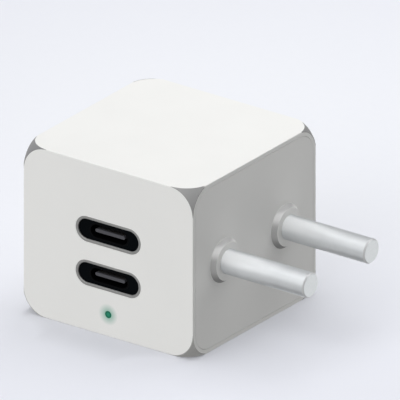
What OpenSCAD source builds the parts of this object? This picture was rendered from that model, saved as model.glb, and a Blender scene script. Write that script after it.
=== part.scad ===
// Two-port wall charger with a round-pin mains plug.
// Frame: +Z up, origin at the centre of the bottom face, ports face -Y, pins point +X. Millimetres.

/* [Body] */
// Width and depth of the square body
body_w = 38.4; // [38.4:0.2:42]
// Height of the body
body_h = 33.8; // [33.8:0.2:38]
// Radius of the rounded corners of each face
corner_r = 5.1; // [4.6:0.1:6]
// Small radius along the straight edges
edge_r = 0.15; // [0.1:0.05:0.3]
// Wall thickness of the moulded housing
wall = 1.6; // [1.5:0.1:1.7]
// Width of the rim that frames the plug cover
cover_rim = 0.8; // [0.7:0.05:0.9]
// Hairline gap round the plug cover
cover_gap = 0.06; // [0.04:0.01:0.1]

/* [Plug] */
// Distance between the two pin axes
pin_spacing = 19; // [18.8:0.1:19.4]
// Diameter of each pin
pin_d = 4.8; // [4:0.1:5]
// Length of pin that stands out of its boss
pin_len = 18.7; // [17:0.1:20]
// Chamfer at the flat pin tip
pin_chamfer = 0.25; // [0.15:0.05:0.4]
// Radius of the boss where it meets the face
boss_r = 4.36; // [4:0.02:4.6]
// Radius of the flat top of the boss
boss_cap_r = 3.7; // [3.2:0.1:3.9]
// Height of the boss
boss_h = 1; // [0.6:0.1:1.4]

/* [Ports] */
// Height of the upper port axis above the base
port_z = 20.3; // [20:0.1:21]
// Distance between the two port axes
port_pitch = 8.75; // [8.5:0.05:9]
// Outer width of the trim ring
ring_w = 14.75; // [14.2:0.05:15.2]
// Outer height of the trim ring
ring_h = 5.1; // [4.9:0.05:5.3]
// Width of the ring's visible face
ring_t = 0.55; // [0.45:0.05:0.6]
// Chamfer on the edges of the trim ring
ring_c = 0.08; // [0.04:0.01:0.12]
// Depth of the black recess below the front face
recess = 0.3; // [0.2:0.05:0.4]
// Height of the indicator above the base
led_z = 4.38; // [4.2:0.02:4.6]
// Diameter of the light guide at the front face
led_d = 1.4; // [1.2:0.1:1.8]

/* [Boards] */
// Thickness of the circuit boards
board_t = 1.2; // [1:0.1:1.2]
// Height of the underside of the main board
board_z = 5; // [4.9:0.05:5.1]

/* [Hidden] */
$fn = 64;

hw = body_w / 2;
hh = body_h / 2;
pin_z = hh;
pin_r = pin_d / 2;
cover_x = hw - wall;            // back of the cover plate, and the ledge it sits on
boss_x = hw + boss_h;           // flat top of each boss
front_y = -hw;
port_zs = [port_z, port_z - port_pitch];
mouth_y = front_y + recess;     // mouth of each receptacle
shelf_y = front_y + 0.9;        // shelf that the ring and the bezel sit on
pb_y0 = front_y + 7.8;          // front of the upright port board
pb_y1 = pb_y0 + board_t;
zb = board_z + board_t;         // top of the main board
ib_x1 = cover_x - 3.8;          // outer side of the upright input board
ib_x0 = ib_x1 - board_t;
shell_w = 8.94;                 // standard receptacle shell
shell_h = 3.16;
shell_t = 0.3;
tongue_w = 6.69;                // standard tongue
tongue_h = 0.7;

// ---------- shared shapes ----------
module rrect(w, h, r) {
  difference() {
    square([w, h], center = true);
    for (sx = [-1, 1], sy = [-1, 1])
      difference() {
        translate([sx * (w / 2 - r / 2), sy * (h / 2 - r / 2)]) square([r, r], center = true);
        translate([sx * (w / 2 - r), sy * (h / 2 - r)]) circle(r);
      }
  }
}

module stadium(w, h) {
  square([w - h, h], center = true);
  for (s = [-1, 1]) translate([s * (w - h) / 2, 0]) circle(h / 2);
}

// 2D x and y become Y and Z, drawn from x0 to x1
module along_x(x0, x1) translate([x0, 0, 0]) rotate([90, 0, 90]) linear_extrude(x1 - x0) children();

// 2D x and y become X and Z, drawn from y0 to y1
module along_y(y0, y1) translate([0, y1, 0]) rotate([90, 0, 0]) linear_extrude(y1 - y0) children();

// Section carried round a stadium: each point is [distance from the core line, Y]
module round_stadium(w, h, z, section) {
  translate([0, 0, z]) union() {
    for (s = [-1, 1])
      translate([s * (w - h) / 2, 0, 0]) rotate([-90, 0, 0]) rotate([0, 0, -s * 90])
        rotate_extrude(angle = 180) polygon(section);
    for (m = [0, 1])
      mirror([0, 0, m]) along_x(-(w - h) / 2, (w - h) / 2) polygon([for (p = section) [p[1], p[0]]]);
  }
}

// Box given by its low and high corners
module box(a, b) translate(a) cube(b - a);

// Cylinder along +X
module xcyl(x0, x1, y, z, r) translate([x0, y, z]) rotate([0, 90, 0]) cylinder(h = x1 - x0, r = r);

// Cylinder along +Y
module ycyl(y0, y1, x, z, r) translate([x, y1, z]) rotate([90, 0, 0]) cylinder(h = y1 - y0, r = r);

// ---------- housing ----------
// Square body with rounded faces: each corner is cut by a ball that leaves
// a quarter circle on the three faces that meet there.
module body_outer() {
  ball = corner_r * sqrt(2) * 1.001;
  difference() {
    intersection() {
      along_x(-hw, hw) translate([0, hh]) rrect(body_w, body_h, edge_r);
      along_y(-hw, hw) translate([0, hh]) rrect(body_w, body_h, edge_r);
      linear_extrude(body_h) rrect(body_w, body_w, edge_r);
    }
    for (sx = [-1, 1], sy = [-1, 1], sz = [0, 1])
      difference() {
        translate([sx > 0 ? hw - corner_r : -hw - 1, sy > 0 ? hw - corner_r : -hw - 1,
                   sz > 0 ? body_h - corner_r : -1])
          cube(corner_r + 1);
        translate([sx * (hw - corner_r), sy * (hw - corner_r), sz > 0 ? body_h - corner_r : corner_r])
          sphere(ball, $fn = 128);
      }
  }
}

module housing() {
  color([0.95, 0.95, 0.94])
  difference() {
    union() {
      difference() {
        body_outer();
        // inside, open towards the plug
        along_x(-hw + wall, cover_x) translate([0, hh])
          rrect(body_w - 2 * wall, body_h - 2 * wall, corner_r - wall);
        // rebate for the plug cover
        along_x(cover_x - 0.01, hw + 1) translate([0, hh])
          rrect(body_w - 2 * cover_rim, body_h - 2 * cover_rim, corner_r - cover_rim);
      }
      // two ribs under the main board
      for (y = [-7.5, 14.2]) box([-hw + wall - 0.2, y, wall - 0.2], [ib_x1, y + 1, board_z]);
      // collar behind the indicator
      ycyl(front_y + wall - 0.2, front_y + wall + 1.6, 0, led_z, led_d / 2 + 0.9);
    }
    for (z = port_zs) {
      along_y(front_y - 1, shelf_y) translate([0, z]) stadium(ring_w, ring_h);
      along_y(front_y - 1, front_y + wall + 1) translate([0, z]) stadium(11.4, 3.9);
    }
    ycyl(front_y - 1, front_y + wall + 2, 0, led_z, led_d / 2 + 0.02);
  }
}

// ---------- plug ----------
module pin_at(y) {
  translate([0, y, pin_z]) rotate([0, 90, 0])
    rotate_extrude()
      polygon([[0, ib_x0 - 0.8], [1, ib_x0 - 0.8], [1, cover_x - 3], [2.9, cover_x - 3],
               [2.9, cover_x - 1.5], [1.9, cover_x - 1.5], [1.9, boss_x],
               [pin_r, boss_x], [pin_r, boss_x + pin_len - pin_chamfer],
               [pin_r - pin_chamfer, boss_x + pin_len], [0, boss_x + pin_len]]);
}

module plug_cover() {
  w = body_w - 2 * cover_rim - 2 * cover_gap;
  h = body_h - 2 * cover_rim - 2 * cover_gap;
  iw = body_w - 2 * wall - 0.2;
  ih = body_h - 2 * wall - 0.2;
  color([0.94, 0.94, 0.93])
  difference() {
    union() {
      along_x(cover_x, hw) translate([0, hh]) rrect(w, h, corner_r - cover_rim - cover_gap);
      // locating lip inside the housing
      difference() {
        along_x(cover_x - 1.6, cover_x + 0.2) translate([0, hh]) rrect(iw, ih, corner_r - wall - 0.1);
        along_x(cover_x - 2, cover_x) translate([0, hh]) rrect(iw - 2, ih - 2, corner_r - wall - 1.1);
      }
      for (s = [-1, 1]) {
        // tapered boss round each pin
        translate([hw - 0.2, s * pin_spacing / 2, pin_z]) rotate([0, 90, 0]) rotate_extrude()
          polygon([[0, 0], [boss_r, 0], [boss_r, 0.2], [boss_cap_r, boss_h + 0.2], [0, boss_h + 0.2]]);
        // socket that the pin is moulded into
        xcyl(cover_x - 3, cover_x + 0.2, s * pin_spacing / 2, pin_z, 4);
      }
      // web between the sockets
      box([cover_x - 2.4, -pin_spacing / 2, pin_z - 0.8], [cover_x + 0.2, pin_spacing / 2, pin_z + 0.8]);
    }
    for (s = [-1, 1]) pin_at(s * pin_spacing / 2);
  }
}

module mains_pin_front() color([0.80, 0.81, 0.82]) pin_at(-pin_spacing / 2);
module mains_pin_rear() color([0.80, 0.81, 0.82]) pin_at(pin_spacing / 2);

// ---------- ports ----------
module port_ring(z) {
  ro = ring_h / 2;
  ri = ro - ring_t;
  color([0.60, 0.60, 0.59])
  round_stadium(ring_w, ring_h, z,
    [[ri + ring_c, front_y], [ro - ring_c, front_y], [ro, front_y + ring_c], [ro, shelf_y],
     [ri, shelf_y], [ri, front_y + ring_c]]);
}

module port_bezel(z) {
  color([0.02, 0.02, 0.025])
  difference() {
    union() {
      along_y(mouth_y, shelf_y) translate([0, z]) stadium(ring_w - 2 * ring_t, ring_h - 2 * ring_t);
      along_y(shelf_y - 0.1, front_y + wall + 0.4) translate([0, z]) stadium(11.3, 3.8);
    }
    along_y(mouth_y - 1, front_y + wall + 1) translate([0, z]) stadium(shell_w + 0.04, shell_h + 0.04);
  }
}

leg_xs = [-4.2, 3.3];           // low x of each solder leg
module shell_legs(z, grow) {
  for (x = leg_xs, s = [-1, 1])
    box([x - grow, pb_y0 - 0.4 - grow, z + s * (shell_h / 2 - shell_t / 2) - shell_t / 2 - grow],
        [x + 0.9 + grow, pb_y1 + 0.4 + grow, z + s * (shell_h / 2 - shell_t / 2) + shell_t / 2 + grow]);
}

module usb_shell(z) {
  color([0.05, 0.05, 0.055])
  union() {
    difference() {
      along_y(mouth_y, pb_y0) translate([0, z]) stadium(shell_w, shell_h);
      along_y(mouth_y - 1, pb_y0 + 1) translate([0, z]) stadium(shell_w - 2 * shell_t, shell_h - 2 * shell_t);
    }
    intersection() {
      shell_legs(z, 0);
      box([-4.2, pb_y0 - 0.4, z - 2], [4.2, pb_y1 + 0.4, z + 2]);
    }
  }
}

module usb_insulator(z) {
  color([0.29, 0.29, 0.31])
  union() {
    along_y(pb_y0 - 2.6, pb_y0) translate([0, z]) stadium(shell_w - 2 * shell_t - 0.02, shell_h - 2 * shell_t - 0.02);
    along_y(mouth_y + 3.2, pb_y0 - 2.5) translate([0, z]) stadium(7.4, 1.3);
    along_y(mouth_y + 0.3, mouth_y + 3.3) translate([0, z]) stadium(tongue_w, tongue_h - 0.06);
  }
}

module usb_contacts(z) {
  color([0.83, 0.68, 0.36])
  for (i = [0:11], s = [-1, 1])
    translate([(i - 5.5) * 0.5 - 0.125, mouth_y + 0.75, z + s * (tongue_h / 2 - 0.015) - 0.015])
      cube([0.25, 2.45, 0.03]);
}

module port_ring_upper() port_ring(port_zs[0]);
module port_ring_lower() port_ring(port_zs[1]);
module port_bezel_upper() port_bezel(port_zs[0]);
module port_bezel_lower() port_bezel(port_zs[1]);
module usb_shell_upper() usb_shell(port_zs[0]);
module usb_shell_lower() usb_shell(port_zs[1]);
module usb_insulator_upper() usb_insulator(port_zs[0]);
module usb_insulator_lower() usb_insulator(port_zs[1]);
module usb_contacts_upper() usb_contacts(port_zs[0]);
module usb_contacts_lower() usb_contacts(port_zs[1]);

// ---------- indicator ----------
module led_light_pipe() {
  color([0.18, 0.55, 0.40])
  translate([0, front_y, led_z]) rotate([-90, 0, 0])
    cylinder(h = pb_y0 - front_y - 0.7, r = led_d / 2);
}

module status_led() {
  color([0.75, 0.95, 0.80])
  union() {
    box([-0.8, pb_y0 - 0.3, led_z - 0.4], [0.8, pb_y0, led_z + 0.4]);
    box([-0.5, pb_y0 - 0.6, led_z - 0.4], [0.5, pb_y0 - 0.2, led_z + 0.4]);
  }
}

// ---------- boards ----------
tenon_x = [-13, 7];             // low x of the tenons into the port board
tenon_y = [-6, 5];              // low y of the tenons into the main board
tr_pins = [for (i = [0:3], s = [-1, 1]) [-10.5 + i * 3, 6.4 + s * 6.6]];
legs = [[5.1, 7.9], [10.1, 7.9], [5.1, 11.8], [10.1, 11.8], [-0.9, -8.4], [-0.9, -3.4]];

module port_board() {
  color([0.05, 0.30, 0.16])
  difference() {
    box([-16, pb_y0, 2.2], [11, pb_y1, 29]);
    for (z = port_zs) shell_legs(z, 0.1);
    for (x = tenon_x) box([x - 0.05, pb_y0 - 1, board_z - 0.05], [x + 4.05, pb_y1 + 1, zb + 0.05]);
  }
}

module main_board() {
  color([0.05, 0.30, 0.16])
  difference() {
    union() {
      box([-16.8, pb_y1 + 0.02, board_z], [ib_x1 + 0.6, 15.7, zb]);
      for (x = tenon_x) box([x, pb_y0 - 0.3, board_z], [x + 4, pb_y1 + 0.1, zb]);
      box([11.4, pb_y0 - 0.8, board_z], [ib_x1 + 0.6, pb_y1 + 0.1, zb]);
    }
    for (y = tenon_y) box([ib_x0 - 0.05, y - 0.05, board_z - 1], [ib_x1 + 0.05, y + 4.05, zb + 1]);
    // isolation slot with the barrier in it
    box([-15.05, -1.95, board_z - 1], [1.05, -1.35, zb + 1]);
    // holes for the pins and legs of the parts
    for (p = tr_pins) translate([p[0], p[1], board_z - 1]) cylinder(h = 4, r = 0.45);
    for (p = legs) translate([p[0], p[1], board_z - 1]) cylinder(h = 4, r = 0.4);
  }
}

module input_board() {
  color([0.05, 0.30, 0.16])
  difference() {
    union() {
      box([ib_x0, -11.6, zb + 0.02], [ib_x1, 12.6, 31]);
      for (y = tenon_y) box([ib_x0, y, board_z - 0.4], [ib_x1, y + 4, zb + 0.1]);
    }
    for (s = [-1, 1]) {
      xcyl(ib_x0 - 1, ib_x1 + 1, s * pin_spacing / 2, pin_z, 1.1);
      xcyl(ib_x0 - 1, ib_x1 + 1, s * 5, 20.4, 0.5);
    }
  }
}

module pin_solder_joints() {
  color([0.78, 0.79, 0.80])
  for (s = [-1, 1])
    translate([ib_x0 - 0.7, s * pin_spacing / 2, pin_z]) rotate([0, 90, 0]) rotate_extrude()
      polygon([[1, 0], [1.15, 0], [2.1, 0.7], [1, 0.7]]);
}

// ---------- mains input parts ----------
module fuse() {
  color([0.35, 0.20, 0.12])
  difference() {
    box([3.2, 1.6, zb], [11.4, 5.6, zb + 7.7]);
    for (x = [3.2, 11.4], y = [1.6, 5.6]) translate([x, y, zb - 1]) cube([0.8, 0.8, 20], center = true);
  }
}

// Disc part standing on two legs, its axis along Y
module disc_part(x, y, r, t) {
  ycyl(y, y + t, x, zb + 0.9 + r, r);
  for (s = [-1, 1]) translate([x + s * 2.5, y + t / 2, board_z - 0.6]) cylinder(h = board_t + 0.6 + 3, r = 0.3);
}

module inrush_thermistor() color([0.12, 0.12, 0.12]) disc_part(7.6, 6.3, 3.6, 3.2);
module varistor() color([0.16, 0.30, 0.62]) disc_part(7.6, 10.2, 3.6, 3.2);
module y_capacitor() {
  color([0.20, 0.42, 0.75]) {
    xcyl(-2.4, 0.6, -5.9, zb + 0.9 + 3.4, 3.4);
    for (s = [-1, 1]) translate([-0.9, -5.9 + s * 2.5, board_z - 0.6]) cylinder(h = board_t + 0.6 + 3, r = 0.3);
  }
}

module x_capacitor() {
  color([0.85, 0.62, 0.12])
  union() {
    // moulded box with its long edges rounded
    along_x(3, ib_x0) translate([0, 20.4]) rrect(12.8, 5, 0.5);
    for (s = [-1, 1]) xcyl(ib_x0 - 0.5, ib_x1 + 0.6, s * 5, 20.4, 0.4);
  }
}

choke_c = [7.1, -4.4];
module choke_core() {
  color([0.22, 0.23, 0.22])
  translate([choke_c[0], choke_c[1], zb + 1.2])
    difference() {
      cylinder(h = 4.6, r = 4.1);
      translate([0, 0, -1]) cylinder(h = 7, r = 2.2);
    }
}

// Wire turns round the ring core, each a closed loop of square section
module choke_winding() {
  color([0.72, 0.42, 0.20])
  for (a = [-50:20:50], s = [0, 180])
    translate([choke_c[0], choke_c[1], zb + 1.2]) rotate([0, 0, a + s + 90])
      translate([3.15, 0, 2.3]) difference() {
        cube([2.9, 0.55, 5.8], center = true);
        translate([-0.03, 0, 0]) cube([2, 2, 4.62], center = true);
      }
}

module bridge_rectifier() {
  color([0.10, 0.10, 0.11])
  union() {
    box([4, -2.6, board_z - 2.4], [9, 5, board_z - 0.15]);
    for (y = [-1.8, 3.2], x = [3.2, 8.9]) box([x, y, board_z - 0.35], [x + 0.9, y + 1, board_z]);
  }
}

// Electrolytic can lying along X, with its rolled groove near the lead end
module bulk_capacitor(y) {
  translate([0, y, 27.3]) rotate([0, 90, 0]) rotate_extrude()
    polygon([[0, -7.2], [3.5, -7.2], [3.9, -6.8], [3.9, 10.9], [3.6, 11.2], [3.6, 11.6], [3.9, 11.9], [3.9, 12.4], [0, 12.4]]);
}

module bulk_capacitor_1() color([0.13, 0.15, 0.20]) bulk_capacitor(-3.1);
module bulk_capacitor_2() color([0.13, 0.15, 0.20]) bulk_capacitor(4.9);
module bulk_capacitor_3() color([0.13, 0.15, 0.20]) bulk_capacitor(12.9);

// ---------- transformer ----------
tx = -6;                        // centre of the transformer
ty = 6.4;
tz = zb + 1.2;                  // underside of the lower core
core_h = 7;                     // height of each core half
module core_half() {
  difference() {
    translate([-8.5, -4.5, 0]) cube([17, 9, core_h]);
    for (s = [-1, 1]) translate([s * 4.3 - 1.55, -5, 2.4]) cube([3.1, 10, core_h]);
  }
}

module transformer_core_lower() color([0.20, 0.20, 0.21]) translate([tx, ty, tz]) core_half();
module transformer_core_upper() color([0.20, 0.20, 0.21]) translate([tx, ty, tz + 2 * core_h]) mirror([0, 0, 1]) core_half();

wz0 = tz + 2.4;                 // winding window
wz1 = tz + 2 * core_h - 2.4;
module transformer_bobbin() {
  color([0.12, 0.12, 0.13])
  difference() {
    union() {
      translate([tx - 3.25, ty - 5.1, wz0 + 0.05]) cube([6.5, 10.2, wz1 - wz0 - 0.1]);
      for (z = [wz0 + 0.05, wz1 - 0.65]) translate([tx - 5.8, ty - 7.3, z]) cube([11.6, 14.6, 0.6]);
      // foot on each side of the core, with the pins in it
      for (s = [-1, 1]) translate([tx - 6, ty + s * 6.05 - 1.25, zb]) cube([12, 2.5, wz0 - zb + 0.3]);
    }
    translate([tx - 2.8, ty - 4.55, wz0 - 1]) cube([5.6, 9.1, 20]);
    for (p = tr_pins) translate([p[0], p[1], zb - 1]) cylinder(h = 3, r = 0.35);
  }
}

module transformer_pins() {
  color([0.80, 0.80, 0.80])
  for (p = tr_pins) translate([p[0], p[1], board_z - 0.6]) cylinder(h = zb - board_z + 0.6 + 2, r = 0.35);
}

module transformer_winding() {
  color([0.74, 0.44, 0.20])
  translate([tx, ty, wz0 + 0.65]) linear_extrude(wz1 - wz0 - 1.3) difference() {
    rrect(11, 13.6, 1.4);
    square([6.5, 10.2], center = true);
  }
}

module transformer_tape() {
  color([0.93, 0.78, 0.20])
  translate([tx, ty, wz0 + 0.65]) linear_extrude(wz1 - wz0 - 1.3) difference() {
    rrect(11.4, 14, 1.6);
    rrect(11, 13.6, 1.4);
  }
}

// ---------- power stage ----------
module gull_ic(x, y, w, d, h, n) {
  // body and leads of a chip under the main board
  box([x - w / 2, y - d / 2, board_z - h], [x + w / 2, y + d / 2, board_z - 0.1]);
  for (i = [0:n - 1], s = [-1, 1])
    translate([x - w / 2 + w * (i + 0.5) / n, y + s * (d / 2 + 0.35), board_z - 0.15]) cube([0.4, 0.9, 0.3], center = true);
}

module gan_power_ic() {
  color([0.08, 0.08, 0.09])
  union() {
    box([-4, 4, board_z - 0.85], [2.8, 10, board_z - 0.05]);
    // pads along the two long sides
    for (i = [0:6], x = [-4.1, 2.4]) box([x, 4.4 + i * 0.8, board_z - 0.15], [x + 0.5, 4.8 + i * 0.8, board_z]);
  }
}
module sync_rectifier() color([0.08, 0.08, 0.09]) gull_ic(-10, 4, 4.9, 3.9, 1.5, 4);
module optocoupler() color([0.10, 0.10, 0.10]) gull_ic(-10.5, -3.2, 4.4, 4.4, 2.1, 2);

module output_capacitor(x) {
  translate([x, -6, zb]) rotate_extrude()
    polygon([[0, 0], [3.15, 0], [3.15, 0.8], [2.9, 1], [2.9, 1.3], [3.15, 1.5], [3.15, 8.7], [2.85, 9], [0, 9]]);
}

module output_capacitor_1() color([0.75, 0.76, 0.78]) output_capacitor(-13);
module output_capacitor_2() color([0.75, 0.76, 0.78]) output_capacitor(-6.2);

// Square coil block on the back of the port board, its four corners cut
module buck_inductor(x) {
  color([0.30, 0.30, 0.31])
  difference() {
    box([x, pb_y1, 22.4], [x + 6.2, pb_y1 + 3, 28.6]);
    for (dx = [0, 6.2], dz = [0, 6.2]) translate([x + dx, pb_y1, 22.4 + dz]) rotate([0, 45, 0]) cube([1.2, 10, 1.2], center = true);
  }
}

module buck_inductor_1() buck_inductor(-10.4);
module buck_inductor_2() buck_inductor(-1.6);

module pd_controller_ic() color([0.08, 0.08, 0.09]) box([-2.5, pb_y1, 13.4], [2.5, pb_y1 + 0.85, 18.4]);
module port_switches() color([0.08, 0.08, 0.09]) for (x = [-8.6, 5.3]) box([x, pb_y1, 13.5], [x + 3.3, pb_y1 + 0.8, 16.8]);

module chip_capacitors() {
  color([0.72, 0.58, 0.42]) {
    for (x = [-15.6, -13.9, -7, -4.8, -2.6, -0.4]) translate([x, -6, board_z - 0.8]) cube([0.8, 1.6, 0.8]);
    for (i = [0:3]) translate([-13 + i * 2.2, 9.4, board_z - 0.8]) cube([0.8, 1.6, 0.8]);
    for (i = [0:2]) translate([-9 + i * 1.6, pb_y1, 18.6]) cube([0.8, 0.8, 1.6]);
  }
}

module chip_resistors() {
  color([0.15, 0.15, 0.16]) {
    for (i = [0:4]) translate([-13.6 + i * 2.4, -8.9, board_z - 0.45]) cube([0.8, 1.3, 0.45]);
    for (i = [0:2]) translate([-1.2 + i * 1.6, 11.4, board_z - 0.45]) cube([0.8, 1.1, 0.45]);
    for (i = [0:2]) translate([-1.8 + i * 1.4, pb_y1, 18.9]) cube([0.8, 0.45, 1.3]);
  }
}

// ---------- heat path and insulation ----------
// Sheet that runs under the roof and down the rear wall, bent to the inner corner
module bent_sheet(x0, x1, y0, z0, gap, t) {
  along_x(x0, x1) intersection() {
    translate([0, hh]) difference() {
      rrect(body_w - 2 * (wall + gap), body_h - 2 * (wall + gap), corner_r - wall - gap);
      rrect(body_w - 2 * (wall + gap + t), body_h - 2 * (wall + gap + t), corner_r - wall - gap - t);
    }
    translate([y0, z0]) square([body_w, body_h]);
  }
}

module heat_spreader() color([0.78, 0.79, 0.80]) bent_sheet(-15.8, 11.6, -10, 6.6, 0.05, 0.4);
module insulation_film() color([0.95, 0.92, 0.80]) bent_sheet(-16.2, 11.9, -10.2, 6.4, 0.45, 0.2);

module insulation_barrier() {
  color([0.88, 0.88, 0.84])
  union() {
    box([-15, -1.85, board_z], [1, -1.45, zb + 0.1]);
    box([-16.2, -1.85, zb], [1.8, -1.45, 22]);
  }
}

module thermal_pad_rear() color([0.55, 0.62, 0.72]) box([-13, ty + 7.3, 9], [1, hw - wall - 0.7, 20]);
module thermal_pad_bottom() color([0.55, 0.62, 0.72]) box([-4.4, 3.6, wall], [3.2, 10.4, board_z - 0.85]);

housing();
plug_cover();
mains_pin_front();
mains_pin_rear();
port_ring_upper();
port_ring_lower();
port_bezel_upper();
port_bezel_lower();
usb_shell_upper();
usb_shell_lower();
usb_insulator_upper();
usb_insulator_lower();
usb_contacts_upper();
usb_contacts_lower();
led_light_pipe();
status_led();
port_board();
main_board();
input_board();
pin_solder_joints();
fuse();
inrush_thermistor();
varistor();
x_capacitor();
choke_core();
choke_winding();
bridge_rectifier();
bulk_capacitor_1();
bulk_capacitor_2();
bulk_capacitor_3();
transformer_core_upper();
transformer_core_lower();
transformer_bobbin();
transformer_winding();
transformer_tape();
transformer_pins();
gan_power_ic();
sync_rectifier();
optocoupler();
y_capacitor();
output_capacitor_1();
output_capacitor_2();
buck_inductor_1();
buck_inductor_2();
pd_controller_ic();
port_switches();
chip_capacitors();
chip_resistors();
heat_spreader();
insulation_film();
insulation_barrier();
thermal_pad_rear();
thermal_pad_bottom();
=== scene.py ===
import math

import bpy
from mathutils import Matrix, Vector

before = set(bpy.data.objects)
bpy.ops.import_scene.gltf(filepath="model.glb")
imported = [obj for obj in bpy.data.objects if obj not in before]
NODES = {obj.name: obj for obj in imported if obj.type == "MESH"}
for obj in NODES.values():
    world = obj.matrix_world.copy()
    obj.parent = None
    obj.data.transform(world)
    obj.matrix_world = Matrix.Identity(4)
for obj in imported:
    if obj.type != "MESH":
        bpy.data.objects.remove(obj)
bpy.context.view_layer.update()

scene = bpy.context.scene

# Sizes of the body in millimetres
HW, HH = 19.2, 16.9            # half width, half height
CORNER = 5.1                   # radius of the rounded faces
BALL = CORNER * math.sqrt(2) * 1.001
LED_Z = 4.38

# ---------------------------------------------------------------- camera
AZ, EL = math.radians(36.0), math.radians(24.0)
BACK = Vector((math.sin(AZ) * math.cos(EL), -math.cos(AZ) * math.cos(EL), math.sin(EL)))
TARGET = Vector((0.000022, 0.009418, 0.017086))
cam_data = bpy.data.cameras.new("camera")
cam_data.type = "ORTHO"
cam_data.ortho_scale = 0.07336
cam_data.clip_start, cam_data.clip_end = 0.01, 10.0
cam = bpy.data.objects.new("camera", cam_data)
scene.collection.objects.link(cam)
cam.rotation_mode = "QUATERNION"
cam.rotation_quaternion = (-BACK).to_track_quat("-Z", "Y")
cam.location = TARGET + BACK * 0.6
scene.camera = cam
scene.view_settings.view_transform = "Standard"
scene.view_settings.look = "None"

# ---------------------------------------------------------------- light


def softbox(name, direction, distance, size, power, colour=(1, 1, 1), size_y=None, aim=(0, 0, 0.017)):
    data = bpy.data.lights.new(name, "AREA")
    data.shape = "RECTANGLE"
    data.size = size
    data.size_y = size_y or size
    data.energy = power
    data.color = colour
    o = bpy.data.objects.new(name, data)
    d = Vector(direction).normalized()
    o.location = Vector(aim) + d * distance
    o.rotation_mode = "QUATERNION"
    o.rotation_quaternion = (-d).to_track_quat("-Z", "Y")
    o.visible_camera = False
    scene.collection.objects.link(o)
    return o


softbox("overhead", (0.0, 0.0, 1.0), 0.60, 0.25, 0.154)
softbox("overhead_rear", (0.0, 0.55, 1.0), 0.60, 0.40, 0.891)
softbox("front", (-0.35, -0.93, 0.16), 0.70, 0.60, 0.215)
softbox("lamp_front_left", (-0.45, -0.80, 0.50), 0.25, 0.20, 0.014)
softbox("lamp_rear_right", (0.75, 0.50, 0.60), 0.22, 0.15, 0.054)


def bearing(azimuth, elevation):
    """Direction at this azimuth (0 is in front of the ports, 90 beyond the pins) and elevation."""
    a, e = math.radians(azimuth), math.radians(elevation)
    return (math.sin(a) * math.cos(e), -math.cos(a) * math.cos(e), math.sin(e))


# The studio's walls and ceiling: soft pools of light by direction, over an even base
WALLS = {
    "even": (None, 0, 0.0),
    "ceiling": ((0.0, 0.0, 1.0), 8, 2.08),
    "ceiling_front": (bearing(0, 60), 8, 0.292),
    "high_front": (bearing(0, 30), 8, 1.99),
    "window": (bearing(310, 54), 30, 0.80),
    "wall_front": (bearing(0, 0), 8, 0.210),
    "wall_rear_right": (bearing(135, 0), 8, 0.278),
    "wall_rear_left": (bearing(225, 0), 8, 0.582),
    "wall_left": (bearing(270, 0), 8, 1.05),
    "low_front": (bearing(0, -35), 8, 1.388),
    "low_right": (bearing(60, -35), 8, 0.124),
    "low_right_rear": (bearing(120, -35), 8, 0.60),
    "low_rear": (bearing(180, -35), 8, 1.4),
    "low_left_rear": (bearing(240, -35), 8, 0.784),
}
world = bpy.data.worlds.new("studio")
scene.world = world
world.use_nodes = True
wt = world.node_tree
sky = wt.nodes["Background"]
sky.inputs[0].default_value = (0.99, 0.99, 0.99, 1)
where = wt.nodes.new("ShaderNodeTexCoord").outputs["Generated"]


def wall_light(direction, power):
    """Socket that is 1 in this direction and falls off with the angle from it."""
    dot = wt.nodes.new("ShaderNodeVectorMath")
    dot.operation = "DOT_PRODUCT"
    wt.links.new(where, dot.inputs[0])
    dot.inputs[1].default_value = Vector(direction).normalized()
    out = dot.outputs["Value"]
    for op, v in (("MAXIMUM", 0.0), ("POWER", power)):
        n = wt.nodes.new("ShaderNodeMath")
        n.operation = op
        wt.links.new(out, n.inputs[0])
        n.inputs[1].default_value = v
        out = n.outputs[0]
    return out


def light_walls(walls):
    total = walls["even"][2]
    for name, (direction, power, strength) in walls.items():
        if direction is None:
            continue
        n = wt.nodes.new("ShaderNodeMath")
        n.operation = "MULTIPLY_ADD"
        wt.links.new(wall_light(direction, power), n.inputs[0])
        n.inputs[1].default_value = strength
        if isinstance(total, float):
            n.inputs[2].default_value = total
        else:
            wt.links.new(total, n.inputs[2])
        total = n.outputs[0]
    wt.links.new(total, sky.inputs[1])


light_walls(WALLS)
# past the floor's edge the camera sees an even pale backdrop instead of the lamps' pools
backdrop = wt.nodes.new("ShaderNodeBackground")
backdrop.inputs[0].default_value = (0.80, 0.815, 0.865, 1)
seen = wt.nodes.new("ShaderNodeMixShader")
wt.links.new(wt.nodes.new("ShaderNodeLightPath").outputs["Is Camera Ray"], seen.inputs[0])
wt.links.new(sky.outputs[0], seen.inputs[1])
wt.links.new(backdrop.outputs[0], seen.inputs[2])
wt.links.new(seen.outputs[0], wt.nodes["World Output"].inputs[0])

# ---------------------------------------------------------------- node helpers


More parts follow.
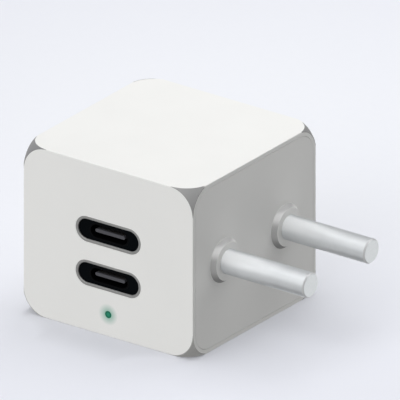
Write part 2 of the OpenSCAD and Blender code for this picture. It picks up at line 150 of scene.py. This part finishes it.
class Graph:
    """Short names for the shader nodes that the materials below use."""

    def __init__(self, material):
        material.use_nodes = True
        self.t = material.node_tree
        self.t.nodes.clear()
        self.out = self.t.nodes.new("ShaderNodeOutputMaterial")
        self.bsdf = self.t.nodes.new("ShaderNodeBsdfPrincipled")
        self.t.links.new(self.bsdf.outputs[0], self.out.inputs[0])
        coord = self.t.nodes.new("ShaderNodeTexCoord")
        scale = self.t.nodes.new("ShaderNodeVectorMath")
        scale.operation = "SCALE"
        scale.inputs["Scale"].default_value = 1000.0
        self.t.links.new(coord.outputs["Object"], scale.inputs[0])
        self.mm = scale.outputs[0]            # position in millimetres
        self._xyz = None

    def put(self, socket, value):
        if isinstance(value, bpy.types.NodeSocket):
            self.t.links.new(value, socket)
        elif isinstance(value, (tuple, list)) and len(value) == 3 and socket.type == "RGBA":
            socket.default_value = (*value, 1.0)
        else:
            socket.default_value = value

    def set(self, **values):
        for name, value in values.items():
            self.put(self.bsdf.inputs[name.replace("_", " ")], value)

    def xyz(self):
        if self._xyz is None:
            n = self.t.nodes.new("ShaderNodeSeparateXYZ")
            self.t.links.new(self.mm, n.inputs[0])
            self._xyz = n.outputs
        return self._xyz

    def m(self, op, a, b=0.0, c=None, clamp=False):
        n = self.t.nodes.new("ShaderNodeMath")
        n.operation = op
        n.use_clamp = clamp
        self.put(n.inputs[0], a)
        self.put(n.inputs[1], b)
        if c is not None:
            self.put(n.inputs[2], c)
        return n.outputs[0]

    def step(self, value, low, high, to_low=0.0, to_high=1.0, smooth=True):
        n = self.t.nodes.new("ShaderNodeMapRange")
        n.interpolation_type = "SMOOTHSTEP" if smooth else "LINEAR"
        n.clamp = True
        for i, v in enumerate((value, low, high, to_low, to_high)):
            self.put(n.inputs[i], v)
        return n.outputs[0]

    def moved(self, scale=(1, 1, 1), offset=(0, 0, 0), rotate=(0, 0, 0)):
        n = self.t.nodes.new("ShaderNodeMapping")
        n.inputs["Location"].default_value = offset
        n.inputs["Rotation"].default_value = rotate
        n.inputs["Scale"].default_value = scale
        self.t.links.new(self.mm, n.inputs[0])
        return n.outputs[0]

    def noise(self, scale, detail=2.0, rough=0.5, vector=None, distort=0.0):
        n = self.t.nodes.new("ShaderNodeTexNoise")
        self.t.links.new(vector or self.mm, n.inputs["Vector"])
        n.inputs["Scale"].default_value = scale
        n.inputs["Detail"].default_value = detail
        n.inputs["Roughness"].default_value = rough
        n.inputs["Distortion"].default_value = distort
        return n.outputs[0]

    def cells(self, scale, feature="F1", vector=None, output=0):
        n = self.t.nodes.new("ShaderNodeTexVoronoi")
        n.feature = feature
        self.t.links.new(vector or self.mm, n.inputs["Vector"])
        n.inputs["Scale"].default_value = scale
        return n.outputs[output]

    def wave(self, scale, vector=None, distort=0.0, detail=1.0, axis="X", bands="BANDS", dscale=1.0):
        n = self.t.nodes.new("ShaderNodeTexWave")
        n.wave_type = bands
        if bands == "BANDS":
            n.bands_direction = axis
        else:
            n.rings_direction = axis
        self.t.links.new(vector or self.mm, n.inputs["Vector"])
        n.inputs["Scale"].default_value = scale
        n.inputs["Distortion"].default_value = distort
        n.inputs["Detail"].default_value = detail
        n.inputs["Detail Scale"].default_value = dscale
        return n.outputs["Fac"]

    def mix(self, fac, a, b, blend="MIX"):
        n = self.t.nodes.new("ShaderNodeMix")
        n.data_type = "RGBA"
        n.blend_type = blend
        self.put(n.inputs["Factor"], fac)
        self.put(n.inputs[6], a)
        self.put(n.inputs[7], b)
        return n.outputs[2]

    def bump(self, height, microns, strength=1.0, after=None):
        n = self.t.nodes.new("ShaderNodeBump")
        n.inputs["Strength"].default_value = strength
        n.inputs["Distance"].default_value = microns * 1e-6
        self.put(n.inputs["Height"], height)
        if after is not None:
            self.t.links.new(after, n.inputs["Normal"])
        return n.outputs[0]


MATERIALS = {}


def material(name):
    def wrap(build):
        m = bpy.data.materials.new(name)
        build(Graph(m))
        MATERIALS[name] = m
        return build
    return wrap


def away(g):
    """Distances in millimetres in from the six faces of the body, folded into three."""
    x, y, z = g.xyz()[0], g.xyz()[1], g.xyz()[2]
    dx = g.m("SUBTRACT", HW, g.m("ABSOLUTE", x))
    dy = g.m("SUBTRACT", HW, g.m("ABSOLUTE", y))
    dz = g.m("SUBTRACT", HH, g.m("ABSOLUTE", g.m("SUBTRACT", z, HH)))
    return dx, dy, dz


def moulded(g, tint, offset):
    """Colour, gloss and fine spark texture of the moulded white plastic."""
    v = g.moved(offset=offset)
    cloud = g.noise(0.09, 3, 0.55, v)
    grain = g.noise(14.0, 2, 0.6, v)
    low = tuple(c * 0.991 for c in tint)
    high = tuple(min(c * 1.006, 0.95) for c in tint)
    colour = g.mix(g.step(cloud, 0.35, 0.65), low, high)
    colour = g.mix(g.step(grain, 0.35, 0.65), colour, g.mix(0.5, colour, (0.86, 0.86, 0.84)))
    rough = g.m("ADD", g.step(grain, 0.3, 0.7, 0.45, 0.52), g.step(cloud, 0.3, 0.7, -0.015, 0.015))
    pits = g.m("ADD", g.m("MULTIPLY", g.noise(11.0, 3, 0.6, v), 0.7),
               g.m("MULTIPLY", g.cells(7.5, vector=v), 0.3))
    return colour, rough, pits


PLASTIC = (0.880, 0.880, 0.865)


@material("moulded_white_shell")
def _(g):
    colour, rough, pits = moulded(g, PLASTIC, (0, 0, 0))
    dx, dy, dz = away(g)
    # painted shade: the corner facets, the ball surface inside each corner cube, are coloured grey in place of shade
    bx = g.m("SUBTRACT", CORNER, dx)
    by = g.m("SUBTRACT", CORNER, dy)
    bz = g.m("SUBTRACT", CORNER, dz)
    dist = g.m("SQRT", g.m("ADD", g.m("ADD", g.m("MULTIPLY", bx, bx), g.m("MULTIPLY", by, by)),
                           g.m("MULTIPLY", bz, bz)))
    inside = g.m("MINIMUM", g.m("MINIMUM", bx, by), bz)
    corner = g.m("MULTIPLY", g.step(dist, BALL - 0.095, BALL - 0.055), g.step(inside, -0.01, 0.01))
    # the facets taper out a little before the ends of the edges that run front to back
    x, y, z = g.xyz()[0], g.xyz()[1], g.xyz()[2]
    rear = g.step(y, -1.0, 1.0)
    ends = g.m("MULTIPLY", g.step(by, 0.55, 0.85), g.step(bx, 2.2, 3.0))
    corner = g.m("MULTIPLY", corner, g.mix(rear, g.step(by, 0.9, 1.7), ends))
    # painted light: green glow of the indicator in the plastic round it, painted into the colour
    lx, lz = x, g.m("SUBTRACT", z, LED_Z)
    r = g.m("SQRT", g.m("ADD", g.m("MULTIPLY", lx, lx), g.m("MULTIPLY", lz, lz)))
    front = g.step(y, -18.9, -18.7, 1.0, 0.0)
    glow = g.m("MULTIPLY", g.step(r, 0.55, 2.15, 1.0, 0.0, smooth=False), front)
    colour = g.mix(glow, colour, (0.330, 0.530, 0.450))
    painted_near = g.m("MULTIPLY", g.step(r, 0.70, 0.95, 1.0, 0.0), front)
    colour = g.mix(g.m("MULTIPLY", painted_near, 0.55), colour, (0.30, 0.62, 0.48))
    # painted shade: the facets' grey is darkest at the upper left, a little paler at the upper right and palest low
    # down, evening out how the lamps light them
    corner_shade_tone = g.mix(g.step(x, -16.0, 16.0), (0.245, 0.245, 0.25), (0.325, 0.325, 0.325))
    grey = g.mix(g.step(z, 6.0, 28.0), (0.455, 0.455, 0.445), corner_shade_tone)
    colour = g.mix(corner, colour, grey)
    # handling leaves the straight edges a little glossier
    near = g.m("MAXIMUM", g.m("MINIMUM", dx, dy), g.m("MINIMUM", g.m("MAXIMUM", dx, dy), dz))
    rough = g.m("SUBTRACT", rough, g.step(near, 0.1, 0.9, 0.06, 0.0))
    rough = g.m("ADD", rough, g.m("MULTIPLY", corner, 0.06))
    g.set(Base_Color=colour, Roughness=rough, Normal=g.bump(pits, 3.0), Specular_IOR_Level=0.38)
    # painted light: the plastic right round the indicator is given a faint green emission
    g.put(g.bsdf.inputs["Emission Color"], g.mix(painted_near, (0, 0, 0), (0.01, 0.14, 0.08)))
    g.bsdf.inputs["Emission Strength"].default_value = 0.25


@material("moulded_white_cover")
def _(g):
    colour, rough, pits = moulded(g, PLASTIC, (31, 7, 3))
    y, z = g.xyz()[1], g.xyz()[2]
    # the moulded sockets are polished a little smoother round the pins
    ry = g.m("SUBTRACT", g.m("ABSOLUTE", y), 9.5)
    rz = g.m("SUBTRACT", z, HH)
    r = g.m("SQRT", g.m("ADD", g.m("MULTIPLY", ry, ry), g.m("MULTIPLY", rz, rz)))
    rough = g.m("SUBTRACT", rough, g.step(r, 3.6, 4.5, 0.05, 0.0))
    # painted shade: the sloped side of each socket, up to its flat cap, is coloured grey, darkest at the bottom and
    # palest near the top, in place of its shading
    x = g.xyz()[0]
    side = g.m("MULTIPLY", g.step(x, 19.21, 19.24), g.step(r, 3.66, 3.72))
    side = g.m("MULTIPLY", side, g.step(x, 20.17, 20.19, 1.0, 0.0))
    grey = g.mix(g.step(rz, -3.9, -0.6), (0.24, 0.24, 0.238), (0.50, 0.50, 0.498))
    grey = g.mix(g.step(rz, 1.0, 2.7), grey, (0.88, 0.88, 0.875))
    grey = g.mix(g.step(rz, 3.1, 3.9), grey, (0.58, 0.58, 0.577))
    grey = g.mix(g.m("MULTIPLY", g.noise(3.0, 2), 0.12), grey, (0.50, 0.50, 0.498))
    colour = g.mix(side, colour, grey)
    g.set(Base_Color=colour, Roughness=rough, Normal=g.bump(pits, 3.0), Specular_IOR_Level=0.38)


@material("nickel_pin")
def _(g):
    x = g.xyz()[0]
    turned = g.wave(3.2, g.moved((1, 0.02, 0.02)), 1.2, 2, "X", dscale=2.0)
    fine = g.noise(6.0, 3, 0.6, g.moved((6, 0.6, 0.6)))
    cloud = g.noise(0.35, 2, 0.5)
    tip = g.step(x, 38.86, 38.89)
    side = g.mix(g.step(cloud, 0.3, 0.7), (0.770, 0.795, 0.815), (0.820, 0.845, 0.865))
    side = g.mix(g.m("MULTIPLY", g.step(fine, 0.3, 0.7), 0.35), side, (0.850, 0.875, 0.895))
    # painted highlight: towards the root a paler, less metallic streak runs along the upper front of each pin
    y, z = g.xyz()[1], g.xyz()[2]
    py = g.m("SUBTRACT", y, g.m("MULTIPLY", g.m("SIGN", y), 9.5))
    pz = g.m("SUBTRACT", z, HH)
    facing = g.m("ADD", g.m("MULTIPLY", py, -0.665 / 2.4), g.m("MULTIPLY", pz, 0.747 / 2.4))
    root_highlight = g.m("MULTIPLY", g.step(x, 20.2, 33.0, 1.0, 0.0, smooth=False), g.step(facing, 0.62, 0.97))
    side = g.mix(g.m("MULTIPLY", root_highlight, 0.9), side, (0.94, 0.955, 0.965))
    face = g.mix(g.step(g.noise(3.0, 2), 0.3, 0.7), (0.880, 0.915, 0.930), (0.920, 0.950, 0.965))
    colour = g.mix(tip, side, face)
    # the chamfer is left matt by the cutter
    chamfer = g.m("SUBTRACT", g.step(x, 38.63, 38.66), tip)
    colour = g.mix(chamfer, colour, (0.78, 0.79, 0.80))
    rough = g.m("ADD", g.step(fine, 0.25, 0.75, 0.30, 0.36), g.m("MULTIPLY", turned, 0.03))
    height = g.m("ADD", g.m("MULTIPLY", turned, 0.6), g.m("MULTIPLY", fine, 0.4))
    g.set(Base_Color=colour, Roughness=rough, Normal=g.bump(height, 0.8),
          Metallic=g.mix(chamfer, g.mix(tip, g.mix(root_highlight, (0.70,) * 3, (0.22,) * 3), (1.0,) * 3), (0.15,) * 3),
          Specular_Tint=(0.66, 0.67, 0.69))


@material("satin_ring")
def _(g):
    brushed = g.noise(5.0, 3, 0.6, g.moved((0.6, 1, 7)))
    cloud = g.noise(0.6, 2)
    colour = g.mix(g.step(brushed, 0.3, 0.7), (0.370, 0.370, 0.365), (0.430, 0.430, 0.424))
    colour = g.mix(g.m("MULTIPLY", g.step(cloud, 0.3, 0.7), 0.3), colour, (0.35, 0.35, 0.345))
    g.set(Base_Color=colour, Roughness=g.step(brushed, 0.2, 0.8, 0.42, 0.52), Metallic=0.85,
          Normal=g.bump(brushed, 1.0))


@material("black_recess")
def _(g):
    grain = g.noise(12.0, 3, 0.6)
    # black plastic, darkened to almost no colour and almost no gloss as painted shade of the port's depth
    colour = g.mix(g.step(grain, 0.3, 0.7), (0.0012, 0.0020, 0.0028), (0.0022, 0.0032, 0.0042))
    g.set(Base_Color=colour, Roughness=g.step(grain, 0.3, 0.7, 0.50, 0.60), Normal=g.bump(grain, 2.0),
          Specular_IOR_Level=0.03)


@material("blackened_steel")
def _(g):
    rolled = g.noise(4.0, 3, 0.6, g.moved((1, 0.2, 1)))
    colour = g.mix(g.step(rolled, 0.3, 0.7), (0.0018, 0.0020, 0.0026), (0.0032, 0.0035, 0.0044))
    g.set(Base_Color=colour, Roughness=g.step(rolled, 0.3, 0.7, 0.42, 0.55), Metallic=0.6,
          Normal=g.bump(rolled, 1.0), Specular_IOR_Level=0.10)


@material("grey_tongue")
def _(g):
    grain = g.noise(9.0, 3, 0.6)
    colour = g.mix(g.step(grain, 0.3, 0.7), (0.070, 0.070, 0.080), (0.084, 0.084, 0.096))
    g.set(Base_Color=colour, Roughness=g.step(grain, 0.3, 0.7, 0.50, 0.58), Normal=g.bump(grain, 2.0),
          Specular_IOR_Level=0.3)


@material("plated_contact")
def _(g):
    wear = g.noise(3.0, 3, 0.6, g.moved((1, 4, 1)))
    # painted shade: both golds are darkened to how the contacts look in the shade inside the port
    colour = g.mix(g.step(wear, 0.3, 0.7), (0.20, 0.165, 0.11), (0.27, 0.22, 0.14))
    g.set(Base_Color=colour, Roughness=g.step(wear, 0.3, 0.7, 0.30, 0.42), Metallic=1.0,
          Normal=g.bump(wear, 0.5))


@material("green_light_guide")
def _(g):
    x, z = g.xyz()[0], g.m("SUBTRACT", g.xyz()[2], LED_Z)
    r = g.m("SQRT", g.m("ADD", g.m("MULTIPLY", x, x), g.m("MULTIPLY", z, z)))
    flow = g.noise(2.0, 2, 0.5, g.moved((1, 0.2, 1)))
    # painted light: the lit guide's colour and emission are brighter at its centre, a painted glow
    colour = g.mix(g.step(r, 0.15, 0.68), (0.022, 0.185, 0.115), (0.008, 0.105, 0.062))
    colour = g.mix(g.m("MULTIPLY", g.step(flow, 0.3, 0.7), 0.15), colour, (0.03, 0.24, 0.15))
    g.set(Base_Color=colour, Roughness=g.step(flow, 0.2, 0.8, 0.28, 0.36), Normal=g.bump(flow, 1.0),
          Specular_IOR_Level=0.12)
    g.put(g.bsdf.inputs["Emission Color"], g.mix(g.step(r, 0.1, 0.66), (0.025, 0.26, 0.14), (0.005, 0.10, 0.055)))
    g.bsdf.inputs["Emission Strength"].default_value = 0.25


# ---------------------------------------------------------------- inside parts


@material("led_package")
def _(g):
    z = g.xyz()[1]
    grain = g.noise(8.0, 2)
    lens = g.step(z, -11.75, -11.65, 1.0, 0.0)
    colour = g.mix(lens, g.mix(grain, (0.80, 0.79, 0.72), (0.86, 0.85, 0.80)), (0.45, 0.85, 0.55))
    g.set(Base_Color=colour, Roughness=g.step(grain, 0.3, 0.7, 0.25, 0.35), Normal=g.bump(grain, 1.0))


@material("circuit_board")
def _(g):
    # solder mask over a few plain copper runs
    cells = g.cells(0.42, "DISTANCE_TO_EDGE")
    run = g.step(cells, 0.05, 0.07, 1.0, 0.0)
    fine = g.noise(5.0, 3, 0.6)
    cloud = g.noise(0.25, 2)
    mask = g.mix(g.step(cloud, 0.3, 0.7), (0.012, 0.085, 0.035), (0.018, 0.115, 0.050))
    colour = g.mix(g.m("MULTIPLY", run, 0.6), mask, (0.045, 0.20, 0.085))
    height = g.m("ADD", run, g.m("MULTIPLY", fine, 0.15))
    g.set(Base_Color=colour, Roughness=g.step(fine, 0.3, 0.7, 0.28, 0.40), Normal=g.bump(height, 25.0))


@material("solder")
def _(g):
    flow = g.noise(2.5, 3, 0.6)
    colour = g.mix(g.step(flow, 0.3, 0.7), (0.60, 0.61, 0.62), (0.76, 0.77, 0.78))
    g.set(Base_Color=colour, Roughness=g.step(flow, 0.3, 0.7, 0.20, 0.34), Metallic=1.0,
          Normal=g.bump(flow, 12.0))


@material("fuse_brown")
def _(g):
    grain = g.noise(4.0, 3, 0.6)
    colour = g.mix(g.step(grain, 0.3, 0.7), (0.085, 0.035, 0.018), (0.120, 0.052, 0.026))
    g.set(Base_Color=colour, Roughness=g.step(grain, 0.3, 0.7, 0.32, 0.44), Normal=g.bump(grain, 5.0))


def dipped(g, low, high):
    """Thick dipped coating with a slightly orange-peel gloss."""
    peel = g.noise(1.1, 2, 0.5)
    fine = g.noise(7.0, 3, 0.6)
    colour = g.mix(g.step(peel, 0.3, 0.7), low, high)
    g.set(Base_Color=colour, Roughness=g.step(fine, 0.3, 0.7, 0.30, 0.42),
          Normal=g.bump(fine, 3.0, after=g.bump(peel, 60.0)))


@material("dipped_black")
def _(g):
    dipped(g, (0.012, 0.012, 0.013), (0.024, 0.024, 0.025))


@material("dipped_blue")
def _(g):
    dipped(g, (0.012, 0.055, 0.30), (0.020, 0.085, 0.40))


@material("yellow_box")
def _(g):
    grain = g.noise(5.0, 3, 0.6)
    cloud = g.noise(0.3, 2)
    colour = g.mix(g.step(cloud, 0.3, 0.7), (0.62, 0.31, 0.025), (0.70, 0.38, 0.04))
    g.set(Base_Color=colour, Roughness=g.step(grain, 0.3, 0.7, 0.36, 0.46), Normal=g.bump(grain, 4.0))


@material("ferrite")
def _(g):
    grain = g.noise(7.0, 4, 0.65)
    specks = g.step(g.cells(4.0), 0.05, 0.16, 1.0, 0.0)
    colour = g.mix(g.step(grain, 0.3, 0.7), (0.030, 0.030, 0.032), (0.055, 0.055, 0.057))
    colour = g.mix(g.m("MULTIPLY", specks, 0.35), colour, (0.12, 0.12, 0.125))
    g.set(Base_Color=colour, Roughness=g.step(grain, 0.3, 0.7, 0.52, 0.66), Normal=g.bump(grain, 10.0),
          Metallic=0.2)


@material("copper_wire")
def _(g):
    strands = g.wave(1.7, None, 0.3, 1, "Z")
    shade = g.noise(0.9, 2)
    # painted shade: the copper is darkened in the grooves between turns
    colour = g.mix(g.step(strands, 0.05, 0.6), (0.20, 0.060, 0.018), (0.62, 0.235, 0.070))
    colour = g.mix(g.m("MULTIPLY", g.step(shade, 0.3, 0.7), 0.3), colour, (0.72, 0.32, 0.11))
    g.set(Base_Color=colour, Roughness=g.step(shade, 0.3, 0.7, 0.22, 0.32), Metallic=0.9,
          Normal=g.bump(strands, 60.0))


@material("chip_black")
def _(g):
    grain = g.noise(10.0, 3, 0.6)
    colour = g.mix(g.step(grain, 0.3, 0.7), (0.012, 0.012, 0.013), (0.022, 0.022, 0.024))
    g.set(Base_Color=colour, Roughness=g.step(grain, 0.3, 0.7, 0.48, 0.62), Normal=g.bump(grain, 4.0))


@material("chip_tan")
def _(g):
    grain = g.noise(8.0, 3, 0.6)
    colour = g.mix(g.step(grain, 0.3, 0.7), (0.40, 0.25, 0.13), (0.50, 0.33, 0.19))
    g.set(Base_Color=colour, Roughness=g.step(grain, 0.3, 0.7, 0.38, 0.50), Normal=g.bump(grain, 3.0))


@material("can_sleeve")
def _(g):
    # shrink sleeve with a plain pale stripe; the bare aluminium shows at both ends
    x = g.xyz()[0]
    z = g.xyz()[2]
    ends = g.m("MAXIMUM", g.step(x, -7.0, -6.9, 1.0, 0.0), g.step(x, 12.3, 12.36))
    stripe = g.m("MULTIPLY", g.step(z, 30.35, 30.40), g.step(x, -6.2, -6.1))
    film = g.noise(2.0, 3, 0.6)
    colour = g.mix(g.step(film, 0.3, 0.7), (0.014, 0.018, 0.035), (0.022, 0.027, 0.050))
    colour = g.mix(stripe, colour, (0.45, 0.46, 0.48))
    colour = g.mix(ends, colour, (0.72, 0.73, 0.74))
    g.set(Base_Color=colour, Roughness=g.step(film, 0.3, 0.7, 0.24, 0.36), Metallic=ends,
          Normal=g.bump(film, 10.0))


@material("can_metal")
def _(g):
    z = g.xyz()[2]
    drawn = g.noise(3.0, 3, 0.6, g.moved((1, 1, 0.15)))
    base = g.step(z, 6.9, 7.0, 1.0, 0.0)
    colour = g.mix(g.step(drawn, 0.3, 0.7), (0.66, 0.67, 0.69), (0.78, 0.79, 0.80))
    colour = g.mix(base, colour, (0.02, 0.02, 0.022))
    g.set(Base_Color=colour, Roughness=g.step(drawn, 0.3, 0.7, 0.22, 0.34),
          Metallic=g.m("SUBTRACT", 1.0, base), Normal=g.bump(drawn, 4.0))


@material("bobbin_black")
def _(g):
    grain = g.noise(9.0, 3, 0.6)
    flow = g.noise(0.8, 2)
    colour = g.mix(g.step(flow, 0.3, 0.7), (0.014, 0.014, 0.015), (0.028, 0.028, 0.030))
    g.set(Base_Color=colour, Roughness=g.step(grain, 0.3, 0.7, 0.34, 0.46), Normal=g.bump(grain, 4.0))


@material("yellow_tape")
def _(g):
    laps = g.wave(0.55, None, 0.4, 1, "Z")
    film = g.noise(3.0, 3, 0.6)
    colour = g.mix(g.step(laps, 0.4, 0.6), (0.72, 0.45, 0.035), (0.82, 0.55, 0.06))
    g.set(Base_Color=colour, Roughness=g.step(film, 0.3, 0.7, 0.20, 0.30), Normal=g.bump(laps, 25.0))


@material("rolled_aluminium")
def _(g):
    rolled = g.noise(3.0, 4, 0.6, g.moved((0.08, 1, 1)))
    colour = g.mix(g.step(rolled, 0.3, 0.7), (0.70, 0.71, 0.72), (0.82, 0.83, 0.84))
    g.set(Base_Color=colour, Roughness=g.step(rolled, 0.3, 0.7, 0.24, 0.38), Metallic=1.0,
          Normal=g.bump(rolled, 3.0))


@material("cream_film")
def _(g):
    fibres = g.noise(2.2, 4, 0.65, g.moved((1, 0.35, 1)))
    cloud = g.noise(0.2, 2)
    colour = g.mix(g.step(cloud, 0.3, 0.7), (0.74, 0.69, 0.52), (0.82, 0.77, 0.62))
    g.set(Base_Color=colour, Roughness=g.step(fibres, 0.3, 0.7, 0.36, 0.50), Normal=g.bump(fibres, 6.0))


@material("grey_pad")
def _(g):
    grain = g.noise(5.0, 4, 0.65)
    specks = g.step(g.cells(3.0), 0.06, 0.20, 1.0, 0.0)
    colour = g.mix(g.step(grain, 0.3, 0.7), (0.24, 0.30, 0.38), (0.29, 0.36, 0.45))
    colour = g.mix(g.m("MULTIPLY", specks, 0.4), colour, (0.45, 0.50, 0.56))
    g.set(Base_Color=colour, Roughness=g.step(grain, 0.3, 0.7, 0.68, 0.82), Normal=g.bump(grain, 25.0))


FINISH = {
    "moulded_white_shell": ["housing"],
    "moulded_white_cover": ["plug_cover"],
    "nickel_pin": ["mains_pin_front", "mains_pin_rear"],
    "satin_ring": ["port_ring_upper", "port_ring_lower"],
    "black_recess": ["port_bezel_upper", "port_bezel_lower"],
    "blackened_steel": ["usb_shell_upper", "usb_shell_lower"],
    "grey_tongue": ["usb_insulator_upper", "usb_insulator_lower"],
    "plated_contact": ["usb_contacts_upper", "usb_contacts_lower"],
    "green_light_guide": ["led_light_pipe"],
    "led_package": ["status_led"],
    "circuit_board": ["port_board", "main_board", "input_board"],
    "solder": ["pin_solder_joints", "transformer_pins"],
    "fuse_brown": ["fuse"],
    "dipped_black": ["inrush_thermistor"],
    "dipped_blue": ["varistor", "y_capacitor"],
    "yellow_box": ["x_capacitor"],
    "ferrite": ["choke_core", "transformer_core_upper", "transformer_core_lower", "buck_inductor_1", "buck_inductor_2"],
    "copper_wire": ["choke_winding", "transformer_winding"],
    "chip_black": ["bridge_rectifier", "gan_power_ic", "sync_rectifier", "optocoupler", "pd_controller_ic",
                   "port_switches", "chip_resistors"],
    "chip_tan": ["chip_capacitors"],
    "can_sleeve": ["bulk_capacitor_1", "bulk_capacitor_2", "bulk_capacitor_3"],
    "can_metal": ["output_capacitor_1", "output_capacitor_2"],
    "bobbin_black": ["transformer_bobbin"],
    "yellow_tape": ["transformer_tape"],
    "rolled_aluminium": ["heat_spreader"],
    "cream_film": ["insulation_film", "insulation_barrier"],
    "grey_pad": ["thermal_pad_rear", "thermal_pad_bottom"],
}

finished = set()
for name, nodes in FINISH.items():
    for n in nodes:
        o = NODES[n]
        if not o.material_slots:
            o.data.materials.append(MATERIALS[name])
        for s in o.material_slots:
            s.material = MATERIALS[name]
        finished.add(n)
assert finished == set(NODES), sorted(set(NODES) - finished)

# ---------------------------------------------------------------- floor
F = 1.6


def plane(name, z):
    mesh = bpy.data.meshes.new(name)
    mesh.from_pydata([(-F, -F, z), (F, -F, z), (F, F, z), (-F, F, z)], [], [(0, 1, 2, 3)])
    o = bpy.data.objects.new(name, mesh)
    scene.collection.objects.link(o)
    # It carries the shadow, and the walls' low light reaches the body's sides through it
    o.visible_diffuse = False
    o.visible_glossy = False
    o.visible_shadow = False
    return o


floor = plane("floor", 0.0)
under = plane("floor_below", -0.03)     # what a low camera sees in front of the floor
floor_mat = bpy.data.materials.new("pale_floor")
g = Graph(floor_mat)
paper = g.noise(0.6, 3, 0.6)
pale = g.mix(g.step(paper, 0.3, 0.7), (0.843, 0.858, 0.902), (0.849, 0.864, 0.908))
# painted light: the floor is palest round a spot behind and left of the body and greyer further out, a painted pool of
# light
fx, fy = g.m("ADD", g.xyz()[0], 40.0), g.m("SUBTRACT", g.xyz()[1], 64.0)
far = g.m("SQRT", g.m("ADD", g.m("MULTIPLY", fx, fx), g.m("MULTIPLY", fy, fy)))
pale = g.mix(g.step(far, 0.0, 120.0), pale, (0.780, 0.793, 0.853))
# painted shadow: the floor is darkened close in front of the body
ahead = g.m("SUBTRACT", -HW, g.xyz()[1])
aside = g.m("MAXIMUM", g.m("SUBTRACT", g.m("ABSOLUTE", g.m("ADD", g.xyz()[0], 1.5)), 8.5), 0.0)
reach = g.m("MULTIPLY", ahead, g.m("MULTIPLY_ADD", aside, 0.3, 1.0))
painted_near = g.m("SQRT", g.m("ADD", g.m("MULTIPLY", reach, reach), g.m("MULTIPLY", aside, aside)))
painted_near = g.m("MULTIPLY", g.step(painted_near, 2.5, 11.0, 1.0, 0.0), g.step(ahead, -1.0, 0.5))
pale = g.mix(g.m("MULTIPLY", painted_near, 0.115), pale, (0.0, 0.0, 0.0))
g.set(Base_Color=pale,
      Roughness=0.9, Specular_IOR_Level=0.1)
# clear from below, so that the underside can be looked at
clear = g.t.nodes.new("ShaderNodeBsdfTransparent")
side = g.t.nodes.new("ShaderNodeMixShader")
g.t.links.new(g.t.nodes.new("ShaderNodeNewGeometry").outputs["Backfacing"], side.inputs[0])
g.t.links.new(g.bsdf.outputs[0], side.inputs[1])
g.t.links.new(clear.outputs[0], side.inputs[2])
g.t.links.new(side.outputs[0], g.out.inputs[0])
floor.data.materials.append(floor_mat)
under.data.materials.append(floor_mat)
